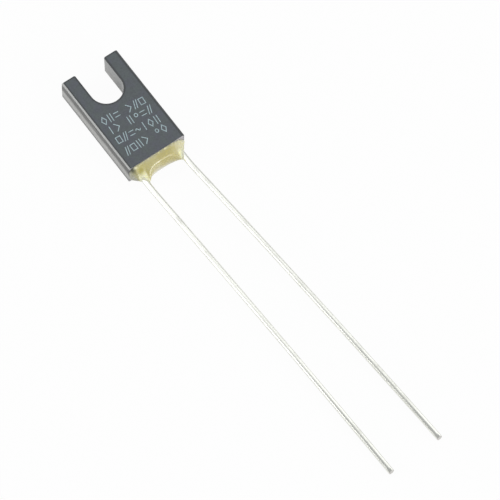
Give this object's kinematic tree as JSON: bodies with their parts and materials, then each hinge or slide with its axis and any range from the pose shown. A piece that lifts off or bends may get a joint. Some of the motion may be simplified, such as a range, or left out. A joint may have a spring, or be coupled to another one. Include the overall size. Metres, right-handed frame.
{
  "type": "thermal fuse",
  "caption": "Flat moulded thermal fuse with an open screw slot at one end and long tinned leads sealed in resin at the other.",
  "frame": {"origin": "on the underside of the case, at the middle of the unslotted stretch that seats on a heat sink", "axes": "+Y along the case towards the screw slot, with the leads running towards -Y; +Z out of the printed face; +X across the case"},
  "size_m": [0.0079, 0.0462, 0.0025],
  "materials": {
    "moulding": "satin, finely mottled dark grey moulding",
    "resin": "glossy translucent yellow epoxy",
    "tinned_wire": "bright tinned copper wire with faint drawing lines",
    "fusible_alloy": "dull low-melting alloy",
    "flux": "amber rosin flux"
  },
  "bodies": {
    "root": {"case": "moulding", "sealing_resin": "resin", "lead_left": "tinned_wire", "lead_right": "tinned_wire", "fusible_alloy": "fusible_alloy", "flux": "flux"}
  },
  "joints": []
}
